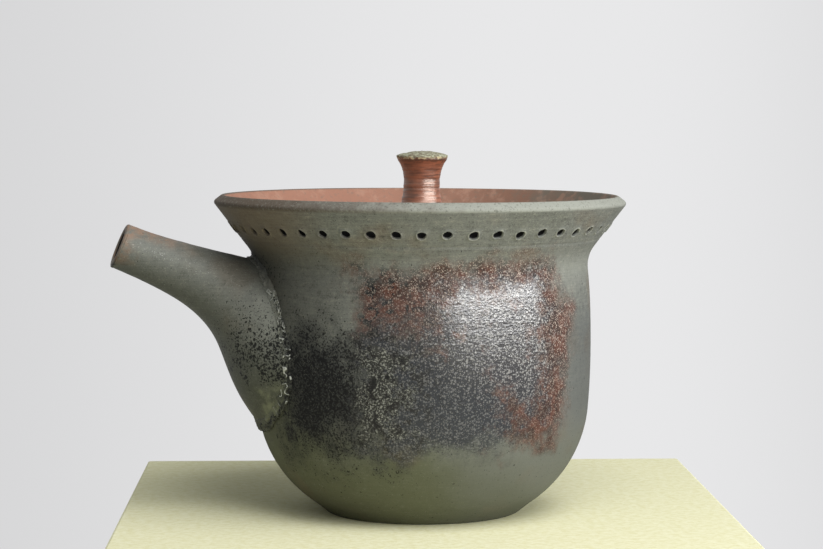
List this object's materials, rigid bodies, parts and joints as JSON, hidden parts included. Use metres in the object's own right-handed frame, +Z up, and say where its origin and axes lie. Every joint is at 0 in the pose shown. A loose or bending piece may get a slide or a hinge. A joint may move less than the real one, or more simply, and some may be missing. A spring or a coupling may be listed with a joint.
{
  "type": "teapot",
  "caption": "Handleless stoneware teapot with a flaring pierced collar, a bent conical spout with an inner strainer, and a sunken lid with a spool knob.",
  "frame": {"origin": "centre of the foot's resting face", "axes": "+Z up along the pot's axis, the spout points along -X, +Y away from the picture's viewer"},
  "size_m": [0.1505, 0.12, 0.1051],
  "materials": {
    "pot_clay": "matt grey-green wood-fired clay with a speckled, glossier ash patch",
    "collar_clay": "matt grey-green outside, orange flashing inside",
    "spout_clay": "matt grey with dark spots and a brown upper side",
    "seam_clay": "rough, tooled clay",
    "inner_clay": "bare matt clay",
    "lid_clay": "flashed orange-brown clay",
    "knob_clay": "satin red-brown with an ash crust on top"
  },
  "bodies": {
    "pot": {"pot_body": "pot_clay", "flared_collar": "collar_clay", "lid_seat_ring": "inner_clay", "spout": "spout_clay", "spout_seam": "seam_clay", "strainer_dome": "inner_clay"},
    "lid": {"lid_plate": "lid_clay", "lid_flange": "inner_clay", "lid_knob": "knob_clay"}
  },
  "joints": [
    {"name": "lid_lift", "type": "slide", "parent": "pot", "child": "lid", "axis": [0, 0, 1], "range_m": [0, 0.06]}
  ]
}
